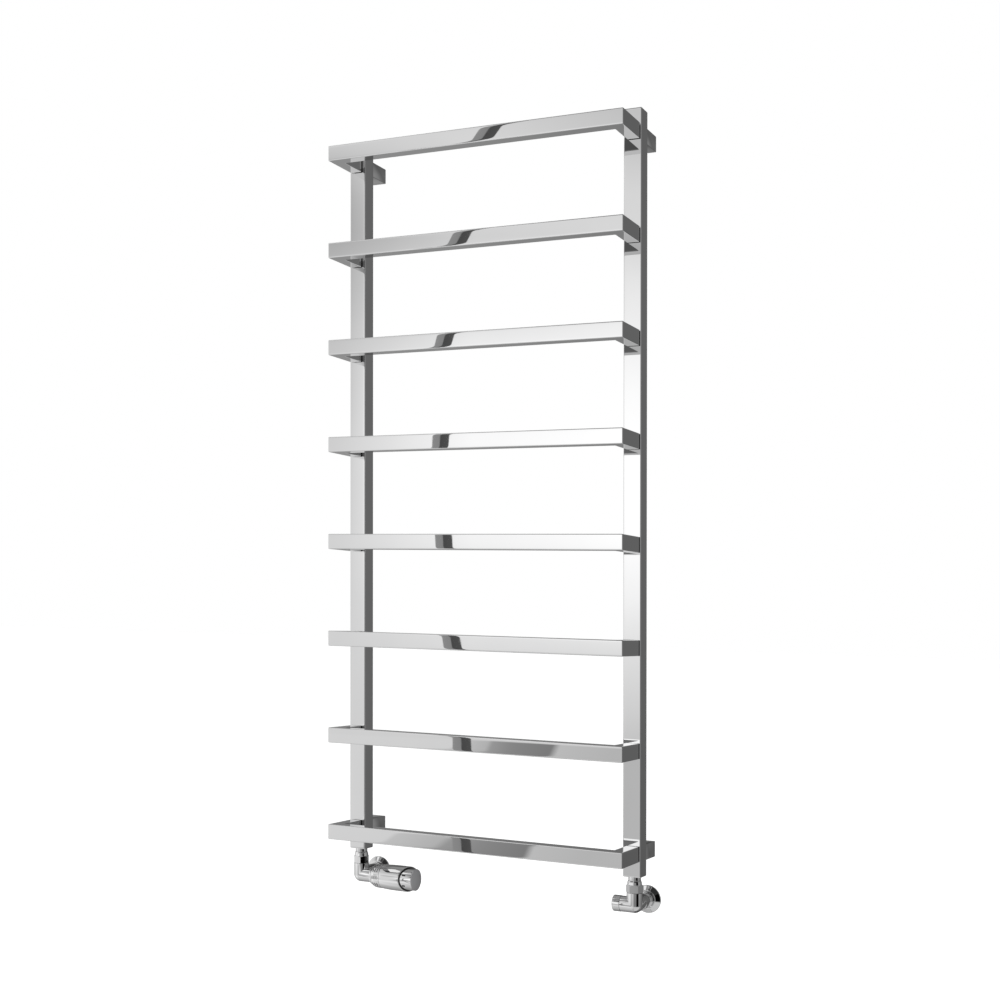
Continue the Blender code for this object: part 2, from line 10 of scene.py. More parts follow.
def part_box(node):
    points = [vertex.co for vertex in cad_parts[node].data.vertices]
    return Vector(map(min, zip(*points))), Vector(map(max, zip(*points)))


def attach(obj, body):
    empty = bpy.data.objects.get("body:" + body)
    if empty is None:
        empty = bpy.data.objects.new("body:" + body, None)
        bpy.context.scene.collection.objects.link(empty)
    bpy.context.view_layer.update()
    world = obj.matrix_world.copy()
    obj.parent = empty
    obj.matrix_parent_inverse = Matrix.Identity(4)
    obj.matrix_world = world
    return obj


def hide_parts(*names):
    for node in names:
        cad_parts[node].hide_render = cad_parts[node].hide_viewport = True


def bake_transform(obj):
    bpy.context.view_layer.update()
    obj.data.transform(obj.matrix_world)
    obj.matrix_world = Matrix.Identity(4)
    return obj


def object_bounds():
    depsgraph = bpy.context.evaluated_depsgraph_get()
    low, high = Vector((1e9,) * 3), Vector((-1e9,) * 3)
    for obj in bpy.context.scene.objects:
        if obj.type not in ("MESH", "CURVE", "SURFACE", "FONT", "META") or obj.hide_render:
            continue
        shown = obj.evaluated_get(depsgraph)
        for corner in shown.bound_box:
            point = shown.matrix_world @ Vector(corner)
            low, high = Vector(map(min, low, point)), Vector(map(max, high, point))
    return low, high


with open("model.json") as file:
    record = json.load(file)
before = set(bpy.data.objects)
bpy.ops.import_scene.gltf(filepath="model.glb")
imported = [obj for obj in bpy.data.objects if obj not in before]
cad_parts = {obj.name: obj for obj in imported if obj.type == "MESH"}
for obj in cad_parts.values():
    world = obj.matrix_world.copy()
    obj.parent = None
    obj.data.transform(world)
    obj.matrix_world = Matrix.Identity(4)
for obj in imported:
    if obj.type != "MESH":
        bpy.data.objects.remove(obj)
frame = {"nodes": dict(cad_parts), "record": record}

CAD_BOX = [list(corner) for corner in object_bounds()]
NODES = frame["nodes"]
ROOT = "radiator"

TO_X = Matrix.Rotation(math.radians(90), 4, "Y")
TO_MINUS_X = Matrix.Rotation(math.radians(-90), 4, "Y")
TO_Y = Matrix.Rotation(math.radians(-90), 4, "X")
UPRIGHT = Matrix.Identity(4)

FINE = 96                      # segments about a turned shape
SIDE_STEPS = 18                # steps over one side of a square tube's section
CORNER_STEPS = 6               # steps over one of its rounded corners
SHARP = 32                     # degrees between faces above which their edge stays sharp
EDGE = 0.0014                  # rounding of the square tubes' edges
ARRIS = 0.0010                 # rounding where a rail turns back to the uprights
RAIL_DEPTH = 0.0210            # a rail's size from front to back
RAIL_BOW = 0.000012            # swell of a rail's sides over their middle
RAIL_LIP = 0.000016            # further fall close to its edges
TUBE_BOW = 0.00003             # the same two for the uprights
TUBE_LIP = 0.00002
# The joint's neck is painted dark, as painted shade in the gap
JOINT_GAP = 0.0020             # width of the dark joint between a rail and an upright
JOINT_SHARE = 0.8              # size of that joint's neck, as a share of the rail's section
ALBEDO = 0.80                  # brightness of the plating


# ---------------------------------------------------------------- node tools

class Nodes:
    """Adds linked shader nodes to a material's or the world's node tree."""

    def __init__(self, tree):
        self.tree = tree

    def add(self, kind, **values):
        node = self.tree.nodes.new(kind)
        for name, value in values.items():
            setattr(node, name, value)
        return node

    def join(self, source, socket):
        if hasattr(source, "is_output"):
            self.tree.links.new(source, socket)
        else:
            socket.default_value = source

    def math(self, operation, *values):
        node = self.add("ShaderNodeMath", operation=operation)
        for value, socket in zip(values, node.inputs):
            self.join(value, socket)
        return node.outputs[0]

    def between(self, value, start, end, low=0.0, high=1.0, kind="SMOOTHSTEP"):
        """Smooth change from low at start to high at end."""
        node = self.add("ShaderNodeMapRange", interpolation_type=kind)
        for socket, given in zip(node.inputs, (value, start, end, low, high)):
            self.join(given, socket)
        return node.outputs[0]

    def span(self, value, start, end):
        """Even rise from 0 to 1 between start and end."""
        return self.between(value, start, end, kind="LINEAR")

    def window(self, *limits):
        """1 inside a panel and 0 outside; each limit is a value and its (zero at, one at) edges."""
        inside = None
        for value, *edges in limits:
            for zero, one in edges:
                side = self.between(value, zero, one)
                inside = side if inside is None else self.math("MULTIPLY", inside, side)
        return inside

    def ramp(self, value, stops):
        """Value to value, by (place, level) stops from the lowest place up; levels may pass 1."""
        top = max(level for _, level in stops)
        low, high = stops[0][0], stops[-1][0]
        node = self.add("ShaderNodeValToRGB")
        elements = node.color_ramp.elements
        while len(elements) < len(stops):
            elements.new(0.5)
        for element, (place, _) in zip(elements, stops):
            element.position = (place - low) / (high - low)
        for element, (_, level) in zip(elements, stops):
            element.color = (level / top,) * 3 + (1.0,)
        self.join(self.span(value, low, high), node.inputs[0])
        return self.math("MULTIPLY", node.outputs[0], top)

    def noise(self, vector, scale, detail=2.0, stretch=(1, 1, 1)):
        place = self.add("ShaderNodeMapping")
        place.inputs["Scale"].default_value = stretch
        self.join(vector, place.inputs["Vector"])
        node = self.add("ShaderNodeTexNoise")
        node.inputs["Scale"].default_value = scale
        node.inputs["Detail"].default_value = detail
        self.join(place.outputs[0], node.inputs["Vector"])
        return node.outputs[0]

    def mix(self, factor, first, second):
        """First colour where the factor is 0, second where it is 1."""
        node = self.add("ShaderNodeMix", data_type="RGBA")
        self.join(factor, node.inputs["Factor"])
        self.join(first, node.inputs[6])
        self.join(second, node.inputs[7])
        return node.outputs[2]

    def blend(self, factor, first, second):
        """First value where the factor is 0, second where it is 1."""
        node = self.add("ShaderNodeMix", data_type="FLOAT")
        self.join(factor, node.inputs[0])
        self.join(first, node.inputs[2])
        self.join(second, node.inputs[3])
        return node.outputs[0]

    def bump(self, height, strength=1.0, distance=1.0):
        node = self.add("ShaderNodeBump")
        node.inputs["Strength"].default_value = strength
        node.inputs["Distance"].default_value = distance
        self.join(height, node.inputs["Height"])
        return node.outputs[0]


def new_material(name):
    material = bpy.data.materials.new(name)
    material.use_nodes = True
    nodes = Nodes(material.node_tree)
    shader = material.node_tree.nodes["Principled BSDF"]
    where = nodes.add("ShaderNodeTexCoord").outputs["Object"]
    return material, nodes, shader, where


def polished_chrome(name, wave):
    """Plated and polished metal; wave is the height of the faint ripples that polishing leaves."""
    material, nodes, shader, where = new_material(name)
    cloud = nodes.noise(where, 18.0, 3.0)
    light = (ALBEDO, ALBEDO, ALBEDO, 1)
    dim = (ALBEDO * 0.97, ALBEDO * 0.97, ALBEDO * 0.975, 1)
    nodes.join(nodes.mix(cloud, light, dim), shader.inputs["Base Color"])
    shader.inputs["Metallic"].default_value = 1.0
    haze = nodes.noise(where, 140.0, 4.0)
    nodes.join(nodes.between(haze, 0.35, 0.75, 0.005, 0.014), shader.inputs["Roughness"])
    polish = nodes.math("MULTIPLY", nodes.noise(where, 700.0, 2.0, stretch=(0.15, 1, 1)), 0.0000001)
    ripple = nodes.math("MULTIPLY", nodes.noise(where, 7.0, 1.0, stretch=(1, 1, 3)), wave)
    nodes.join(nodes.bump(nodes.math("ADD", polish, ripple)), shader.inputs["Normal"])
    return material


def plain_metal(name, colour, roughness):
    """Turned steel or brass with fine tool marks and uneven tone."""
    material, nodes, shader, where = new_material(name)
    cloud = nodes.noise(where, 160.0, 4.0)
    darker = tuple(c * 0.72 for c in colour) + (1,)
    nodes.join(nodes.mix(cloud, colour + (1,), darker), shader.inputs["Base Color"])
    shader.inputs["Metallic"].default_value = 1.0
    nodes.join(nodes.between(cloud, 0.3, 0.7, roughness, roughness + 0.12), shader.inputs["Roughness"])
    marks = nodes.noise(where, 1500.0, 2.0, stretch=(1, 0.2, 1))
    nodes.join(nodes.bump(marks, 0.25, 0.00002), shader.inputs["Normal"])
    return material


def moulded(name, colour, roughness, grain=0.00002, grain_scale=2200.0):
    """Moulded plastic or rubber with a fine even grain and slightly uneven tone."""
    material, nodes, shader, where = new_material(name)
    cloud = nodes.noise(where, 90.0, 3.0)
    darker = tuple(c * 0.92 for c in colour) + (1,)
    nodes.join(nodes.mix(cloud, colour + (1,), darker), shader.inputs["Base Color"])
    nodes.join(nodes.between(cloud, 0.3, 0.7, roughness, roughness + 0.08), shader.inputs["Roughness"])
    fine = nodes.noise(where, grain_scale, 2.0)
    nodes.join(nodes.bump(fine, 0.5, grain), shader.inputs["Normal"])
    return material


# ---------------------------------------------------------------- mesh tools

def present(name, bm, material, body, stands_for=(), matrix=UPRIGHT, sharp=SHARP):
    """Show a mesh as a piece that stands for CAD nodes, and rides on a body if one is given."""
    bmesh.ops.recalc_face_normals(bm, faces=bm.faces)
    mesh = bpy.data.meshes.new(name)
    bm.to_mesh(mesh)
    bm.free()
    mesh.shade_smooth()
    mesh.set_sharp_from_angle(angle=math.radians(sharp))
    mesh.materials.append(material)
    piece = bpy.data.objects.new(name, mesh)
    bpy.context.scene.collection.objects.link(piece)
    piece.matrix_world = matrix
    if body:
        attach(piece, body)
    if stands_for:
        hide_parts(*stands_for)
    return piece


def guide(name, bm, matrix=UPRIGHT):
    """A hidden mesh that cuts or joins another piece, then is dropped."""
    bmesh.ops.recalc_face_normals(bm, faces=bm.faces)
    mesh = bpy.data.meshes.new(name)
    bm.to_mesh(mesh)
    bm.free()
    mesh.shade_smooth()
    helper = bpy.data.objects.new(name, mesh)
    bpy.context.scene.collection.objects.link(helper)
    helper.matrix_world = matrix
    return helper


def combine(piece, helpers, operation):
    """Join or cut the piece with each helper, and keep the outcome as its own mesh."""
    for helper in helpers:
        change = piece.modifiers.new(helper.name, "BOOLEAN")
        change.operation = operation
        change.solver = "EXACT"
        change.object = helper
        change.material_mode = "TRANSFER"
    settle(piece)
    for helper in helpers:
        bpy.data.objects.remove(helper)


def settle(piece):
    """Replace the piece's mesh with the outcome of its modifiers."""
    bpy.context.view_layer.update()
    graph = bpy.context.evaluated_depsgraph_get()
    mesh = bpy.data.meshes.new_from_object(piece.evaluated_get(graph))
    piece.modifiers.clear()
    piece.data = mesh
    mesh.shade_smooth()
    mesh.set_sharp_from_angle(angle=math.radians(SHARP))


def soften(piece, width):
    """Round every edge of the piece, with its flat faces kept flat."""
    bevel = piece.modifiers.new("edges", "BEVEL")
    bevel.width = width
    bevel.segments = 4
    bevel.limit_method = "ANGLE"
    bevel.angle_limit = math.radians(30)
    bevel.harden_normals = True


def block(low, high):
    """Mesh of a plain box between two corners."""
    bm = bmesh.new()
    centre = (Vector(low) + Vector(high)) / 2
    size = Vector(high) - Vector(low)
    bmesh.ops.create_cube(bm, size=1.0, matrix=Matrix.Translation(centre) @ Matrix.Diagonal((*size, 1)))
    return bm


def rod(radius, start, end):
    """Profile of a plain cylinder."""
    return [(0, start), (radius, start), (radius, end), (0, end)]


def eased(profile, steps=5):
    """Round the corners of a (radius, height[, rounding]) profile with small curves.

    A rounding takes less than half of the stretch to the next point, so two of them never meet.
    """
    points = [(p[0], p[1]) for p in profile]
    sizes = [p[2] if len(p) > 2 else 0.0 for p in profile]
    out = []
    for i, (point, size) in enumerate(zip(points, sizes)):
        if size == 0 or i in (0, len(points) - 1):
            out.append(point)
            continue
        here = Vector(point)
        back = Vector(points[i - 1]) - here
        on = Vector(points[i + 1]) - here
        reach = min(size, back.length * 0.48, on.length * 0.48)
        start = here + back.normalized() * reach
        end = here + on.normalized() * reach
        for step in range(steps + 1):
            s = step / steps
            spot = start * (1 - s) ** 2 + here * (2 * s * (1 - s)) + end * s ** 2
            out.append((spot.x, spot.y))
    return out


def lathe(profile, segments=FINE, flats=None, beyond=0.0, closed=False, turn=0.0, crown=0.0):
    """Mesh of a (radius, height) profile turned about Z.

    With flats, what lies beyond a radius is held inside a hexagon that wide over its flats, which is
    turned by turn and swells by crown in the middle of each flat.
    """
    bm = bmesh.new()
    rings = []
    for radius, height in profile:
        if radius < 1e-7:
            rings.append([bm.verts.new((0, 0, height))])
            continue
        ring = []
        for i in range(segments):
            angle = 2 * math.pi * i / segments
            reach = radius
            if flats and radius >= beyond:
                off = (angle % math.radians(60)) - math.radians(30)
                swell = crown * (1 - (off / math.radians(30)) ** 2)
                reach = min(radius, (flats / 2 + swell) / math.cos(off))
            heading = angle + turn
            ring.append(bm.verts.new((reach * math.cos(heading), reach * math.sin(heading), height)))
        rings.append(ring)
    pairs = list(zip(rings, rings[1:]))
    if closed:
        pairs.append((rings[-1], rings[0]))
    for low, high in pairs:
        count = max(len(low), len(high))
        for i in range(count):
            j = (i + 1) % count
            corners = [low[i % len(low)], low[j % len(low)], high[j % len(high)], high[i % len(high)]]
            corners = list(dict.fromkeys(corners))
            if len(corners) > 2:
                bm.faces.new(corners)
    return bm


def bridge(bm, rings, material=0):
    """Faces between each ring of vertices and the next one."""
    for first, second in zip(rings, rings[1:]):
        count = len(first)
        for i in range(count):
            j = (i + 1) % count
            bm.faces.new((first[i], first[j], second[j], second[i])).material_index = material


def close_ends(bm, rings):
    """Faces over the first and the last ring."""
    bm.faces.new(rings[0])
    bm.faces.new(rings[-1])


def at(place, turn=UPRIGHT):
    """Matrix that turns a mesh about its origin and then moves it to a place."""
    return Matrix.Translation(Vector(place)) @ turn


# ---------------------------------------------------------------- materials

RAIL_CHROME = polished_chrome("rail_chrome", 0.00002)
TUBE_CHROME = polished_chrome("upright_chrome", 0.00002)
TURNED_CHROME = polished_chrome("turned_chrome", 0.000004)
STEEL = plain_metal("bright_steel", (0.60, 0.60, 0.61), 0.28)
BRASS = plain_metal("turned_brass", (0.72, 0.54, 0.26), 0.24)
RUBBER = moulded("black_rubber", (0.02, 0.02, 0.02), 0.65)
BLACK = moulded("black_ring_plastic", (0.012, 0.012, 0.012), 0.38)
WHITE = moulded("white_moulding", (0.80, 0.80, 0.77), 0.42)
# Painted shade: a near-black colour put on the rails' joint necks and the collar's slot floors, standing
# in for the shade in those recesses
SHADOW = moulded("painted_shade_for_recesses", (0.01, 0.01, 0.011), 0.7)
GREY = moulded("grey_end_plastic", (0.25, 0.25, 0.255), 0.42, grain=0.00003, grain_scale=1500.0)

BY_SLOT = {"chrome": TURNED_CHROME, "steel": STEEL, "brass": BRASS, "rubber": RUBBER,
           "black_plastic": BLACK, "white_plastic": WHITE, "grey_plastic": GREY}
for entry in frame["record"]["subparts"]:
    mesh = NODES[entry["node"]].data
    mesh.materials.clear()
    mesh.materials.append(BY_SLOT[entry["material_slot"]])


# ---------------------------------------------------------------- rails and uprights

def bowed_section(half_width, half_height, radius, bow, lip):
    """Rounded rectangle whose sides swell: bow over the whole side, lip close to its edges."""
    points = []
    reach, half = half_width, half_height
    sink = bow + lip
    for quarter in range(4):
        flat = half - radius
        side = []
        for step in range(SIDE_STEPS + 1):
            share = math.sin(math.radians(180 * step / SIDE_STEPS - 90))
            side.append((reach - bow * share ** 2 - lip * share ** 16, flat * share))
        for step in range(1, CORNER_STEPS):
            turn = math.radians(90 * step / CORNER_STEPS)
            side.append((reach - radius + (radius - sink) * math.cos(turn),
                         flat + (radius - sink) * math.sin(turn)))
        angle = Matrix.Rotation(math.radians(90 * quarter), 2)
        points += [tuple(angle @ Vector(point)) for point in side]
        reach, half = half, reach
    return points


def make_rail(number):
    """One square tube bent into a flat U, set off from the uprights by a narrow joint whose neck is
    painted dark as shade.
    """
    node = f"rail_{number}"
    low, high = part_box(node)
    middle = (low.z + high.z) / 2
    half_depth, half_height = RAIL_DEPTH / 2, (high.z - low.z) / 2
    back, rim = high.y, high.y - JOINT_GAP
    section = bowed_section(half_depth, half_height, EDGE, RAIL_BOW, RAIL_LIP)
    left, right, front = low.x + half_depth, high.x - half_depth, low.y + half_depth
    bm = bmesh.new()

    def ring(x, y, across, along, scale=1.0):
        """Section at a place on the rail; across and along say which way its outer side faces."""
        return [bm.verts.new((x - out * across * scale, y - out * along * scale, up * scale))
                for out, up in section]

    flat = ARRIS * 1.6
    arc = []
    for step in range(CORNER_STEPS + 1):
        turn = math.radians(90 * step / CORNER_STEPS)
        arc.append((ARRIS * (1 - math.cos(turn)), ARRIS * (1 - math.sin(turn))))
    rings = [ring(left, back, 1, 0, JOINT_SHARE), ring(left, rim, 1, 0, JOINT_SHARE),
             ring(left, rim, 1, 0), ring(left, front + flat, 1, 1)]
    rings += [ring(left + x, front + y, 1, 1) for x, y in arc]
    rings += [ring(left + flat, front, 1, 1), ring(right - flat, front, -1, 1)]
    rings += [ring(right - x, front + y, -1, 1) for x, y in reversed(arc)]
    rings += [ring(right, front + flat, -1, 1), ring(right, rim, -1, 0),
              ring(right, rim, -1, 0, JOINT_SHARE), ring(right, back, -1, 0, JOINT_SHARE)]
    # The neck's faces at both ends take the second material: painted shade for the joint
    bridge(bm, rings[:2], 1)
    bridge(bm, rings[1:-1])
    bridge(bm, rings[-2:], 1)
    close_ends(bm, rings)
    rail = present(f"rail_{number}_bar", bm, RAIL_CHROME, ROOT, [node], at((0, 0, middle)))
    # Second slot: the painted shade for the joint's necks
    rail.data.materials.append(SHADOW)


def bowed_post(low, high, bow, lip):
    """Upright post of bowed section with rounded ends."""
    centre = (low + high) / 2
    half_width, half_depth = (high.x - low.x) / 2, (high.y - low.y) / 2
    bm = bmesh.new()
    rings = []
    # (degrees round the end's edge, height of the rounding's centre, up or down) from foot to top
    levels = [(turn, low.z + EDGE, -1) for turn in range(90, -1, -15)]
    levels += [(0, low.z + 2 * EDGE, -1), (0, high.z - 2 * EDGE, 1)]
    levels += [(turn, high.z - EDGE, 1) for turn in range(0, 91, 15)]
    for turn, level, way in levels:
        inset = EDGE * (1 - math.cos(math.radians(turn)))
        height = level + way * EDGE * math.sin(math.radians(turn))
        rounding = EDGE * 1.01 - inset * 0.7
        section = bowed_section(half_width - inset, half_depth - inset, rounding, bow, lip)
        rings.append([bm.verts.new((centre.x + x, centre.y + y, height)) for x, y in section])
    bridge(bm, rings)
    close_ends(bm, rings)
    return bm


def make_upright(side):
    """Square tube with its end plates welded in and polished flush."""
    tube = f"{side}_upright"
    cap = f"{side}_top_cap"
    foot = f"{side}_foot"
    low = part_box(foot)[0]
    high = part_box(cap)[1]
    bm = bowed_post(low, high, TUBE_BOW, TUBE_LIP)
    present(f"{side}_upright_tube", bm, TUBE_CHROME, ROOT, [tube, cap, foot])


def make_bracket(corner):
    """Square block from the upright to the wall, bored for its stud and grub screw, and the stud."""
    node = f"bracket_{corner}"
    low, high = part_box(node)
    x = (low.x + high.x) / 2
    z = (low.z + high.z) / 2
    stud_radius, screw_bore, bore_radius = 0.0083, 0.0026, 0.0086
    hole_radius, hole_reach = 0.0026, 0.02
    piece = present(f"{node}_block", block(low, high), TUBE_CHROME, ROOT, [node])
    soften(piece, 0.0008)
    stud_low, stud_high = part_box(f"wall_stud_{corner}")
    bore = guide("bore", lathe(rod(bore_radius, stud_low.y - 0.001, 0.01)), at((x, 0, z), TO_Y))
    grub_low, grub_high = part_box(f"grub_screw_{corner}")
    grub = ((grub_low.x + grub_high.x) / 2, (grub_low.y + grub_high.y) / 2, 0)
    ends = sorted((z, z + math.copysign(hole_reach, grub_high.z - z)))
    hole = guide("hole", lathe(rod(hole_radius, *ends), 32), at(grub))
    combine(piece, [bore, hole], "DIFFERENCE")

    stud = eased([(screw_bore, stud_high.y), (stud_radius, stud_high.y, 0.0004),
                  (stud_radius, stud_low.y, 0.001), (0.0050, stud_low.y, 0.0002),
                  (screw_bore, stud_low.y + 0.0024)])
    present(f"stud_{corner}", lathe(stud, 64, closed=True), STEEL, ROOT,
            [f"wall_stud_{corner}"], at((x, 0, z), TO_Y))


def make_vents():
    """Plugs in the backs of the uprights; the air vent's one is bored for its bleed screw."""
    shank, rim, dish, sunk = 0.0062, 0.0090, 0.0045, 0.0006
    for node, hole in (("air_vent_plug", 0.0025), ("blank_plug", 0.0)):
        low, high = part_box(node)
        x = (low.x + high.x) / 2
        z = (low.z + high.z) / 2
        inner = high.y - 0.003
        profile = [(hole, low.y), (shank, low.y), (shank, inner), (rim, inner, 0.0003),
                   (rim, high.y, 0.0008), (dish, high.y, 0.0004), (0.0038, high.y - sunk, 0.0003),
                   (hole, high.y - sunk)]
        present(f"{node}_turned", lathe(eased(profile), 72, closed=hole > 0), TURNED_CHROME,
                ROOT, [node], at((x, 0, z), TO_Y))


# ---------------------------------------------------------------- parts of both valves

BARREL_RADIUS = 0.0126         # upright barrel of a valve's body
ARM_RADIUS = 0.0125            # its side arm
REAR_RADIUS = 0.0124           # its arm to the wall, and the pipe cover
# Valve, turn of its union nut in degrees, and swell of the nut's flats
NUTS = (("thermo", -8.0, 0.00018), ("lockshield", 14.5, 0.00004))


def valve_frame(valve):
    """Middle of a valve: the vertical axis at the height of the horizontal waterway."""
    low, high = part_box(f"{valve}_pipe")
    tail_low, tail_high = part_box(f"{valve}_tailpiece")
    return Vector(((tail_low.x + tail_high.x) / 2, (tail_low.y + tail_high.y) / 2, (low.z + high.z) / 2))


def make_tailpiece(valve):
    """Tube with two collars, between the upright's foot and the union nut."""
    middle = valve_frame(valve)
    low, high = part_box(f"{valve}_tailpiece")
    bore, tube, collar, seat = 0.0065, 0.0088, 0.0100, 0.0102
    top, shoulder, seat_top = -0.0003, -0.0060, -0.0170
    profile = eased([(bore, high.z), (tube, high.z, 0.0003), (tube, top), (collar, top, 0.0003),
                     (collar, shoulder, 0.0003), (tube, shoulder), (tube, seat_top), (seat, seat_top),
                     (seat, low.z), (bore, low.z)])
    present(f"{valve}_tail_collar", lathe(profile, closed=True), TURNED_CHROME, ROOT,
            [f"{valve}_tailpiece"], at((middle.x, middle.y, 0)))


def make_union_nut(valve, turn, crown):
    """Flat topped hexagon with a turned cone above it; crown swells its flats."""
    middle = valve_frame(valve)
    low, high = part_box(f"{valve}_union_nut")
    flats = 0.0235
    bore, recess, recess_top = 0.0091, 0.0105, -0.0167
    corner = flats / 2 / math.cos(math.radians(30))
    neck, neck_foot, chamfer, foot = 0.0117, high.z - 0.0066, 0.0019, 0.0007
    cone = eased([(0.0099, high.z), (0.0104, high.z - 0.0003, 0.0002), (0.0114, high.z - 0.0030, 0.0015),
                  (0.01165, high.z - 0.0064)], 6)
    cone += [(neck + (corner - neck) * step / 10, neck_foot - chamfer * step / 10) for step in range(11)]
    base = [(corner - 0.0012 * step / 5, low.z + foot - foot * step / 5) for step in range(6)]
    nut = [(bore, high.z)] + cone + base + [(recess, low.z), (recess, recess_top), (bore, recess_top)]
    hexagon = lathe(nut, 144, flats=flats, beyond=0.0112, closed=True, turn=turn, crown=crown)
    present(f"{valve}_union_hex", hexagon, TURNED_CHROME, ROOT, [f"{valve}_union_nut"],
            at((middle.x, middle.y, 0)), sharp=24)


def make_pipe_cover(valve):
    """Thin tube from the body's rear arm to the wall."""
    middle = valve_frame(valve)
    low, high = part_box(f"{valve}_pipe_cover")
    bore = 0.0114
    start, end = low.y - middle.y, high.y - middle.y
    cover = eased([(bore, start), (REAR_RADIUS, start, 0.0003), (REAR_RADIUS, end, 0.0003), (bore, end)])
    present(f"{valve}_cover_tube", lathe(cover, closed=True), TURNED_CHROME, ROOT,
            [f"{valve}_pipe_cover"], at(middle, TO_Y))


def make_wall_flange(valve):
    """Cone with a small hub that slides along the pipe cover."""
    middle = valve_frame(valve)
    low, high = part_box(f"{valve}_wall_flange")
    edge = (high.x - low.x) / 2
    bore, hub, hub_front = 0.0127, 0.0150, -0.0060
    flange = [(bore, 0)] + eased([(edge - 0.0002, 0), (edge, -0.0005, 0.0003), (0.0219, -0.0007, 0.0005),
                                  (hub, hub_front, 0.0004), (hub - 0.0010, hub_front, 0.0004),
                                  (bore, -0.0052)], 8)
    present(f"{valve}_flange_disc", lathe(flange, 128, closed=True), TURNED_CHROME,
            f"{valve}_wall_flange", [f"{valve}_wall_flange"], at((middle.x, 0, middle.z), TO_Y))


def make_body(valve, arm_turn, bore_start=None):
    """Polished corner body: an upright barrel with a domed foot, a side arm and an arm to the wall."""
    middle = valve_frame(valve)
    low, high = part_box(f"{valve}_body")
    spigot, bore_radius = 0.0102, 0.0083
    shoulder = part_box(f"{valve}_union_nut")[0].z - 0.0003 - middle.z
    top = high.z - middle.z
    profile = [(0, -BARREL_RADIUS)]
    for step in range(1, 17):
        turn = math.radians(90 * step / 16)
        profile.append((BARREL_RADIUS * math.sin(turn), -BARREL_RADIUS * math.cos(turn)))
    profile += eased([(BARREL_RADIUS, 0), (BARREL_RADIUS, shoulder, 0.0004), (spigot, shoulder, 0.0002),
                      (spigot, top), (0, top)])[1:]
    piece = present(f"{valve}_body_casting", lathe(profile), TURNED_CHROME, ROOT,
                    [f"{valve}_body"], at(middle))
    reach = max(middle.x - low.x, high.x - middle.x)
    arm = guide("arm", lathe(eased([(0, 0.0004), (ARM_RADIUS, 0.0004), (ARM_RADIUS, reach, 0.0003),
                                    (0, reach)])), at(middle, arm_turn))
    back = high.y - middle.y
    rear = guide("rear", lathe(eased([(0, 0.0005), (REAR_RADIUS, 0.0005), (REAR_RADIUS, back, 0.0003),
                                      (0, back)])), at(middle, TO_Y))
    combine(piece, [arm, rear], "UNION")
    if bore_start is not None:
        bore = guide("bore", lathe(rod(bore_radius, bore_start, 0.05)), at(middle, arm_turn))
        combine(piece, [bore], "DIFFERENCE")


def make_shield_cap():
    """Turned cover with a chamfered end that hides the lockshield spindle."""
    node = "lockshield_cap"
    middle = valve_frame("lockshield")
    low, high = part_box(node)
    start, end = middle.x - high.x, middle.x - low.x
    radius = (high.z - low.z) / 2
    chamfer, inner, floor = 0.0010, 0.0088, 0.002
    profile = eased([(0, end), (radius - chamfer, end, 0.0002), (radius, end - chamfer, 0.0003),
                     (radius, start, 0.0003), (inner, start, 0.0002), (inner, end - floor),
                     (0, end - floor)])
    present("lockshield_cap_turned", lathe(profile, 128), TURNED_CHROME, node, [node],
            at(middle, TO_MINUS_X))


# ---------------------------------------------------------------- thermostatic head

# Heights in these profiles run along the head's axis, from the valve's middle.
MOUTH = 0.0930                 # the sleeve's mouth, on the axis
SLOPE = 0.45                   # rise of the mouth over its width
SHEARED_FROM = 0.085           # only what lies past this height takes the slope
SLOT_ROWS = (0.0322, 0.0362, 0.0402)    # heights of the collar's rings of air slots
SLOTS_IN_ROW = 10
HANDLE_RADIUS = 0.0182


def head_place():
    """Matrix that lays a turned shape along the head's axis."""
    return at(valve_frame("thermo"), TO_X)


def along_head(name):
    """Where a node of the head starts and ends on its axis."""
    middle = valve_frame("thermo")
    return [corner.x - middle.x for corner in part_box(f"thermo_{name}")]


def slanted(bm):
    """Shear the end of a turned shape, so that the head's mouth slopes."""
    for vertex in bm.verts:
        if vertex.co.z > SHEARED_FROM:
            vertex.co.z += SLOPE * vertex.co.y
    return bm


def slot_outline():
    """Round-ended slot as (length, width) points about its middle."""
    half_width = 0.0008
    half_length = 0.0031
    outline = []
    for end in (1, -1):
        for step in range(7):
            turn = math.radians(-90 + 180 * step / 6)
            outline.append(((half_length - half_width + half_width * math.cos(turn)) * end,
                            half_width * math.sin(turn) * end))
    return outline


def slot_cutters():
    """Blind air slots in three rings about the collar, their walls and floors painted dark as shade."""
    floor, outside = 0.0186, 0.0226
    bm = bmesh.new()
    for along in SLOT_ROWS:
        for number in range(SLOTS_IN_ROW):
            angle = 2 * math.pi * number / SLOTS_IN_ROW + math.radians(90)
            out = Vector((math.cos(angle), math.sin(angle), 0))
            side = Vector((-out.y, out.x, 0))
            rings = []
            for reach in (floor, outside):
                spots = [out * reach + side * length + Vector((0, 0, width + along))
                         for length, width in slot_outline()]
                rings.append([bm.verts.new(spot) for spot in spots])
            bridge(bm, rings)
            close_ends(bm, rings)
    cutter = guide("slots", bm, head_place())
    # The cut faces take this painted shade
    cutter.data.materials.append(SHADOW)
    return cutter


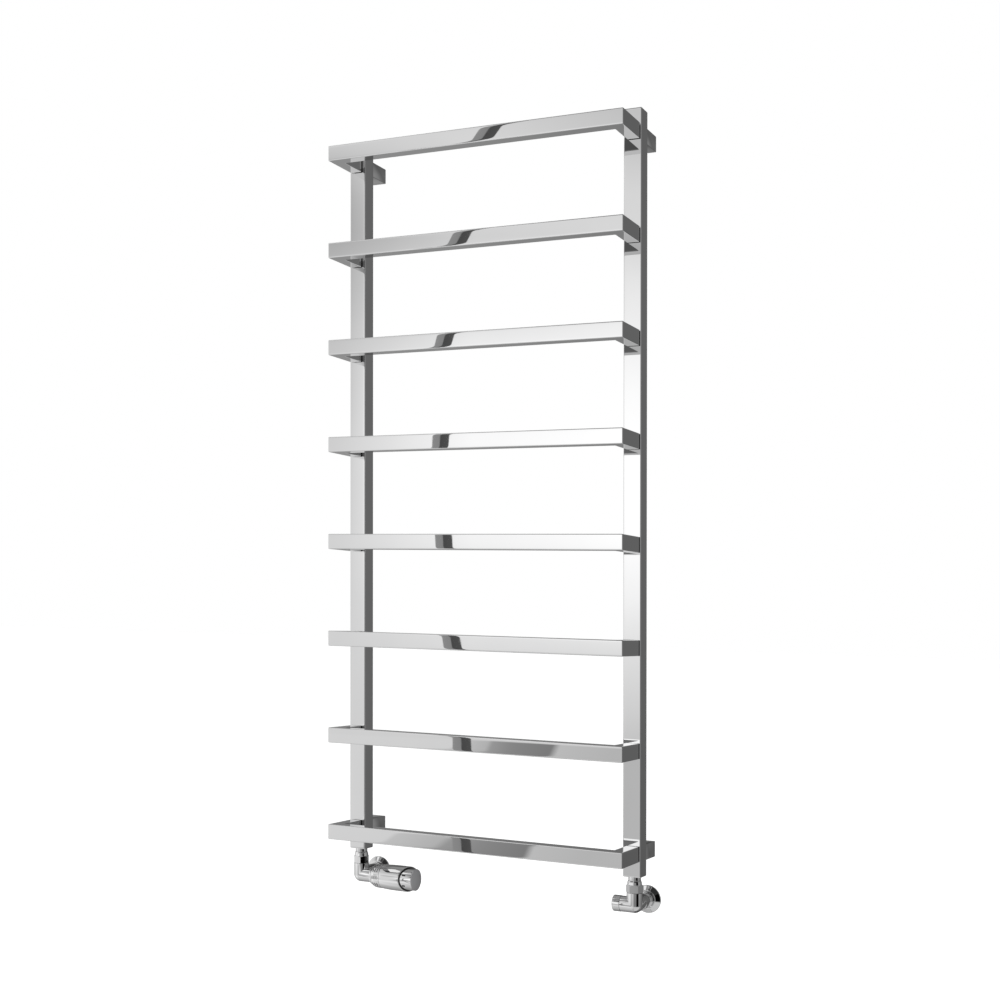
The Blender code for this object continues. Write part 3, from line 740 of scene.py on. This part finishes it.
def make_collar():
    """Slotted collar that widens from the lock nut to the sleeve."""
    start, end = along_head("collar")
    bore, inner = 0.0086, 0.0253
    profile = eased([(bore, start), (0.0150, start, 0.0004), (0.0156, 0.0252, 0.0006),
                     (0.0170, 0.0270, 0.001), (0.0189, 0.0300, 0.002), (0.0198, 0.0335, 0.002),
                     (0.0202, end, 0.0002), (0.0184, end), (0.0180, 0.0335), (0.0171, 0.0306),
                     (0.0153, 0.0280), (0.0140, inner), (bore, inner)])
    piece = present("thermo_collar_turned", lathe(profile, 120, closed=True), TURNED_CHROME,
                    ROOT, ["thermo_collar"], head_place())
    combine(piece, [slot_cutters()], "DIFFERENCE")


def make_sleeve():
    """Outer sleeve, a little wider towards its sloping mouth, and the black ring in the mouth."""
    start = along_head("sleeve")[0]
    lip, wall = 0.0216, 0.0014
    profile = eased([(0.0186, start), (0.0202, start, 0.0002), (0.0209, 0.0540, 0.004),
                     (0.0214, 0.0640, 0.004), (lip, 0.0760, 0.004), (lip, MOUTH, 0.0007),
                     (lip - wall, MOUTH, 0.0004), (lip - wall, 0.0760), (0.0194, 0.0540)], 6)
    present("thermo_sleeve_turned", slanted(lathe(profile, 160, closed=True)), TURNED_CHROME,
            ROOT, ["thermo_sleeve"], head_place())
    inside, outside = 0.0186, 0.0199
    back, front = MOUTH - 0.0034, MOUTH - 0.0006
    profile = eased([(inside, back), (outside, back), (outside, front, 0.0003), (inside, front, 0.0003),
                     (inside, MOUTH - 0.0030)])
    present("thermo_mouth_ring_moulded", slanted(lathe(profile, 160, closed=True)), BLACK,
            ROOT, ["thermo_mouth_ring"], head_place())


def make_handle():
    """Turning handle: a thin cup with the threaded boss that drives the sensor."""
    start, end = along_head("handle")
    shell = HANDLE_RADIUS - 0.0018
    thread, boss, floor, boss_root = 0.0052, 0.0080, 0.1010, 0.0980
    profile = eased([(shell, start), (HANDLE_RADIUS, start, 0.0003), (HANDLE_RADIUS, end, 0.0005),
                     (shell, end), (shell, floor), (thread, floor), (thread, 0.0920), (boss, 0.0920),
                     (boss, boss_root), (shell, boss_root)])
    present("thermo_handle_turned", lathe(profile, 128, closed=True), TURNED_CHROME,
            "thermo_handle", ["thermo_handle"], head_place())


def make_end_disc():
    """Slightly domed grey disc on a small neck that closes the handle."""
    start, end = along_head("end_disc")
    neck = start + 0.0007
    seat, dome, face = HANDLE_RADIUS - 0.0009, 0.0015, 0.0175
    disc = [(0, start), (seat, start), (seat, neck)]
    disc += eased([(HANDLE_RADIUS - 0.0004, neck), (HANDLE_RADIUS, neck, 0.0001),
                   (HANDLE_RADIUS, end - 0.0023, 0.0006), (HANDLE_RADIUS - 0.0007, end - dome)], 8)
    disc += [(face * share, end - dome * share ** 2) for share in (0.85, 0.7, 0.55, 0.4, 0.25, 0.1, 0)]
    present("thermo_end_disc_moulded", lathe(disc, 128), GREY, "thermo_handle",
            ["thermo_end_disc"], head_place())


def make_marks():
    """Plain index marks inlaid in the handle beside the mouth: a bar, a dot and a bar."""
    # (degrees about the head, start, length, width)
    marks = ((28, 0.0884, 0.0064, 0.0028), (3, 0.0892, 0.0019, 0.0019), (-31, 0.0880, 0.0056, 0.0032))
    bar = ((0, -1), (0.9, -1), (1, -0.7), (1, 0.7), (0.9, 1), (0, 1))
    dot = [(0.5 + 0.5 * math.cos(math.radians(30 * step)), math.sin(math.radians(30 * step)))
           for step in range(12)]
    for number, (angle, start, length, width) in enumerate(marks, start=1):
        outline = dot if length == width else bar
        bm = bmesh.new()
        rings = []
        for reach in (HANDLE_RADIUS - 0.0005, HANDLE_RADIUS + 0.0001):
            ring = []
            for along, across in outline:
                turn = math.radians(angle) + across * width / 2 / HANDLE_RADIUS
                spot = (-reach * math.sin(turn), -reach * math.cos(turn), start + along * length)
                ring.append(bm.verts.new(spot))
            rings.append(ring)
        bridge(bm, rings)
        close_ends(bm, rings)
        present(f"thermo_index_mark_{number}", bm, BLACK, "thermo_handle", (),
                head_place())


def make_spring():
    """Wire coil about the spindle; it stays put and rides on no body."""
    node = "thermo_spring"
    low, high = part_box(node)
    middle = valve_frame("thermo")
    wire = 0.0004
    radius = (high.z - low.z) / 2 - wire
    turns, steps, sides = 6, 36, 12
    bm = bmesh.new()
    rings = []
    for step in range(turns * steps + 1):
        angle = 2 * math.pi * step / steps
        along = low.x + wire + (high.x - low.x - 2 * wire) * step / (turns * steps)
        ring = []
        for side in range(sides):
            turn = 2 * math.pi * side / sides
            reach = radius + wire * math.cos(turn)
            spot = (along + wire * math.sin(turn), middle.y + reach * math.cos(angle),
                    middle.z + reach * math.sin(angle))
            ring.append(bm.verts.new(spot))
        rings.append(ring)
    bridge(bm, rings)
    close_ends(bm, rings)
    coil = present("thermo_spring_coil", bm, STEEL, body=None, stands_for=[node])
    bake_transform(coil)


# ---------------------------------------------------------------- studio and camera

# The studio is painted by direction, in degrees as the radiator sees it: azimuth 0 is straight ahead
# (-Y) and grows towards +X, elevation 0 is level. Tones are display values from 0 to 255.
WALL_TOP, CEILING = 42.0, 45.0          # elevations between which the wall turns into the ceiling

# Flat panels over the walls and ceiling: tone, azimuth edges and elevation edges, each (none, full)
PANELS = (
    (228, ((-92.0, -86.0), (-42.0, -47.0)), ((44.8, 46.2), (60.4, 59.4))),    # soft box
    (44, ((-33.0, -24.0), (98.0, 88.0)), ((21.0, 29.0), (84.0, 78.0))),       # dark upper corner
    (188, ((-8.0, 6.0), (112.0, 92.0)), ((-15.0, -25.0),)),                   # light from below
)

LAMP_TARGET = Vector((0, 0, 0.5))
# Name, place, side length and power
LAMPS = (("key", (-1.4, -2.6, 1.9), 1.6, 40.0), ("fill", (1.5, -2.2, 0.7), 1.2, 75.0))


def lit(tone):
    """Light that plated metal has to mirror to show as this display tone, from 0 to 255."""
    return ((tone / 255 + 0.055) / 1.055) ** 2.4 / 0.79


def tones(stops):
    """The same stops with light in place of display tones."""
    return [(place, lit(tone)) for place, tone in stops]


def paint_sides(nodes, azimuth, elevation):
    """Tone by azimuth, scaled by elevation; the part behind the wall plane has its own scale."""
    around = nodes.ramp(azimuth, tones([
        (-180, 82), (-168, 95), (-156, 128), (-146, 140), (-130, 150), (-116, 177), (-80, 205),
        (-57, 222), (-45, 208), (-14, 196), (-9, 190), (0, 168), (9, 150), (15, 116), (40, 122),
        (43, 118), (47, 3), (74, 3), (78, 70), (84, 138), (97, 137), (116, 123), (138, 110),
        (147, 94), (154, 84), (162, 88), (172, 86), (180, 82)]))
    level = nodes.ramp(elevation, [
        (-90, 0.50), (-60, 0.66), (-50, 0.85), (-34, 1.05), (-27, 1.22), (-19, 1.02), (-11, 0.95),
        (-3, 1.15), (13, 1.2), (21, 1.05), (30, 0.95), (37, 0.7), (42, 0.42), (43, 0.42), (90, 0.42)])
    level_behind = nodes.ramp(elevation, [
        (-90, 0.6), (-40, 0.85), (-18, 1.0), (-4, 0.95), (1, 0.82), (8, 0.68), (12, 0.55), (17, 0.44),
        (35, 0.35), (90, 0.4)])
    behind = nodes.between(azimuth, -110.0, -135.0)
    return nodes.math("MULTIPLY", around, nodes.blend(behind, level, level_behind))


def paint_ahead(nodes, azimuth, elevation):
    """The wall that the rails mirror towards the camera: three columns and a leaning low panel."""
    left = nodes.ramp(elevation, tones([
        (-60, 178), (-50, 194), (-42, 194), (-34, 210), (-27, 226), (-19, 206), (-10.5, 207),
        (-3, 207), (3, 210), (7, 206), (10.6, 195), (14.3, 171), (15.4, 174), (17.9, 205),
        (19.7, 217), (22, 213), (28, 203), (36, 176), (42, 132), (44, 130)]))
    middle = nodes.ramp(elevation, tones([
        (-60, 178), (-42, 194), (-27, 222), (-19, 200), (-10.5, 190), (-4.8, 203), (-1, 221),
        (1, 231), (3, 242), (6.8, 249), (8.7, 247), (10.6, 233), (12.5, 219), (14.3, 207),
        (16.1, 215), (17.9, 213), (19.7, 208), (28, 228), (34, 205), (42, 132), (44, 130)]))
    right = nodes.ramp(elevation, tones([
        (-60, 178), (-50, 180), (-38, 202), (-24, 211), (-10.5, 184), (-8.7, 170), (-6.7, 183),
        (-4.8, 193), (-2.9, 210), (-0.9, 224), (1, 243), (3, 254), (5, 258), (7, 257), (8.7, 252),
        (10.6, 242), (12.5, 232), (14.3, 215), (16.1, 213), (17.9, 197), (19.7, 191), (24, 236),
        (34, 245), (41, 210), (44, 130)]))
    wall = nodes.blend(nodes.span(azimuth, -32.0, -26.8), left, middle)
    wall = nodes.blend(nodes.span(azimuth, -26.8, -21.0), wall, right)

    # The low panel's edges lean: its left ones by more than its right ones
    lean = nodes.blend(nodes.span(azimuth, -27.0, -25.0), 0.72, 0.25)
    shift = nodes.math("MULTIPLY", nodes.math("ADD", elevation, 8.7), lean)
    panel = nodes.ramp(nodes.math("SUBTRACT", azimuth, shift), tones([
        (-33.6, 209), (-30.15, 207), (-29.9, 190), (-28.1, 176), (-27.7, 150), (-26.4, 135),
        (-24.6, 122), (-24.3, 186), (-22.2, 178), (-19.7, 180)]))
    low = nodes.window((elevation, (-4.4, -4.6), (-16.0, -13.0)))
    return nodes.blend(low, wall, panel)


def add_pillar(nodes, azimuth, elevation, room):
    """Narrow dark pillar, bowed away above and below, which shows as the stripe across the rails."""
    waist, place, thin = 7.6, -27.9, 0.31    # elevation, azimuth and half width of its waist
    off = nodes.math("SUBTRACT", elevation, waist)
    square = nodes.math("MULTIPLY", off, off)
    downward = nodes.math("MINIMUM", nodes.math("MULTIPLY", square, 0.006), 0.82)
    upward = nodes.math("MULTIPLY", square, 0.0162)
    bow = nodes.blend(nodes.math("GREATER_THAN", off, 0.0), downward, upward)
    centre = nodes.math("ADD", place, bow)
    half_width = nodes.math("ADD", thin, nodes.math("MULTIPLY", bow, 0.05))
    across = nodes.math("DIVIDE", nodes.math("SUBTRACT", azimuth, centre), half_width)
    pillar = nodes.ramp(across, tones([(-1.1, 136), (-0.12, 130), (-0.04, 70), (1.1, 78)]))
    inside = nodes.window((across, (-1.06, -0.96), (1.06, 0.96)), (elevation, (36.0, 30.0)))
    return nodes.blend(inside, room, pillar)


def paint_room(nodes, azimuth, elevation):
    """Light by direction for the plated surfaces to mirror."""
    sides = paint_sides(nodes, azimuth, elevation)
    ahead = paint_ahead(nodes, azimuth, elevation)
    where = nodes.window((azimuth, (-46.0, -35.0), (-12.0, -19.0)), (elevation, (44.0, 41.0)))
    room = nodes.blend(where, sides, ahead)
    ceiling = nodes.ramp(elevation, tones([(40, 118), (45, 128), (62, 140), (90, 138)]))
    room = nodes.blend(nodes.between(elevation, WALL_TOP, CEILING), room, ceiling)
    for tone, sideways, upward in PANELS:
        inside = nodes.window((azimuth, *sideways), (elevation, *upward))
        room = nodes.blend(inside, room, lit(tone))
    return add_pillar(nodes, azimuth, elevation, room)


def make_world():
    """Plain white to the camera, and the painted room to everything else."""
    world = bpy.data.worlds.new("studio")
    bpy.context.scene.world = world
    world.use_nodes = True
    world.node_tree.nodes.clear()
    nodes = Nodes(world.node_tree)
    way = nodes.add("ShaderNodeSeparateXYZ")
    nodes.join(nodes.add("ShaderNodeTexCoord").outputs["Generated"], way.inputs[0])
    x, y, z = way.outputs
    azimuth = nodes.math("DEGREES", nodes.math("ARCTAN2", x, nodes.math("MULTIPLY", y, -1.0)))
    elevation = nodes.math("DEGREES", nodes.math("ARCSINE", z))

    seen = nodes.add("ShaderNodeBackground")
    seen.inputs["Color"].default_value = (1, 1, 1, 1)
    mirrored = nodes.add("ShaderNodeBackground")
    nodes.join(paint_room(nodes, azimuth, elevation), mirrored.inputs["Color"])
    mix = nodes.add("ShaderNodeMixShader")
    nodes.join(nodes.add("ShaderNodeLightPath").outputs["Is Camera Ray"], mix.inputs[0])
    nodes.join(mirrored.outputs[0], mix.inputs[1])
    nodes.join(seen.outputs[0], mix.inputs[2])
    nodes.join(mix.outputs[0], nodes.add("ShaderNodeOutputWorld").inputs[0])


def make_floor():
    """Pale floor under the valves, for the camera only: the object doesn't mirror it."""
    bm = bmesh.new()
    bmesh.ops.create_grid(bm, x_segments=1, y_segments=1, size=30.0)
    mesh = bpy.data.meshes.new("floor")
    bm.to_mesh(mesh)
    bm.free()
    material = bpy.data.materials.new("pale_floor")
    material.use_nodes = True
    shader = material.node_tree.nodes["Principled BSDF"]
    shader.inputs["Base Color"].default_value = (0.85, 0.85, 0.85, 1)
    shader.inputs["Roughness"].default_value = 0.9
    shader.inputs["Emission Color"].default_value = (1, 1, 1, 1)
    shader.inputs["Emission Strength"].default_value = 0.8
    mesh.materials.append(material)
    floor = bpy.data.objects.new("floor", mesh)
    floor.location = (0, 0, CAD_BOX[0][2] - 0.12)
    floor.visible_glossy = False
    floor.visible_diffuse = False
    bpy.context.scene.collection.objects.link(floor)


def make_lamps():
    """Soft lamps for the plastic parts, unseen by the plating."""
    for name, place, size, power in LAMPS:
        data = bpy.data.lights.new(name, "AREA")
        data.shape = "SQUARE"
        data.size = size
        data.energy = power
        lamp = bpy.data.objects.new(name, data)
        lamp.location = place
        away = Vector(place) - LAMP_TARGET
        lamp.rotation_euler = away.to_track_quat("Z", "Y").to_euler()
        lamp.visible_glossy = False
        bpy.context.scene.collection.objects.link(lamp)


def make_camera():
    """Camera at the photograph's angle; its frame leans a little, as the photograph's does."""
    place = (1.0684, -2.2596, 0.3975)
    yaw = math.radians(25.612)
    pitch = math.radians(-0.316)
    roll = math.radians(0.059)
    lean = 0.02614
    ahead = Vector((-math.sin(yaw) * math.cos(pitch), math.cos(yaw) * math.cos(pitch),
                    math.sin(pitch)))
    level = Vector((math.cos(yaw), math.sin(yaw), 0))
    above = level.cross(ahead)
    right = level * math.cos(roll) + above * math.sin(roll)
    up = above * math.cos(roll) - level * math.sin(roll)
    stand = bpy.data.objects.new("camera_stand", None)
    stand.matrix_world = at(place, Matrix((right, up, -ahead)).transposed().to_4x4())
    data = bpy.data.cameras.new("camera")
    data.lens = 53.64
    data.sensor_width = 36.0
    data.shift_y = 0.1276
    camera = bpy.data.objects.new("camera", data)
    for item in (stand, camera):
        bpy.context.scene.collection.objects.link(item)
    camera.parent = stand
    skew = Matrix.Identity(4)
    skew[1][0] = lean
    camera.matrix_parent_inverse = skew
    bpy.context.scene.camera = camera


def main():
    for number in range(1, 9):
        make_rail(number)
    for side in ("left", "right"):
        make_upright(side)
        for level in ("top", "bottom"):
            make_bracket(f"{level}_{side}")
    make_vents()
    for valve, turn, crown in NUTS:
        make_tailpiece(valve)
        make_union_nut(valve, math.radians(turn), crown)
        make_pipe_cover(valve)
        make_wall_flange(valve)
    make_body("thermo", TO_X)
    make_body("lockshield", TO_MINUS_X, bore_start=0.0155)
    make_shield_cap()
    make_collar()
    make_sleeve()
    make_handle()
    make_end_disc()
    make_marks()
    make_spring()
    bpy.context.scene.view_settings.view_transform = "Standard"
    make_world()
    make_floor()
    make_lamps()
    make_camera()


main()
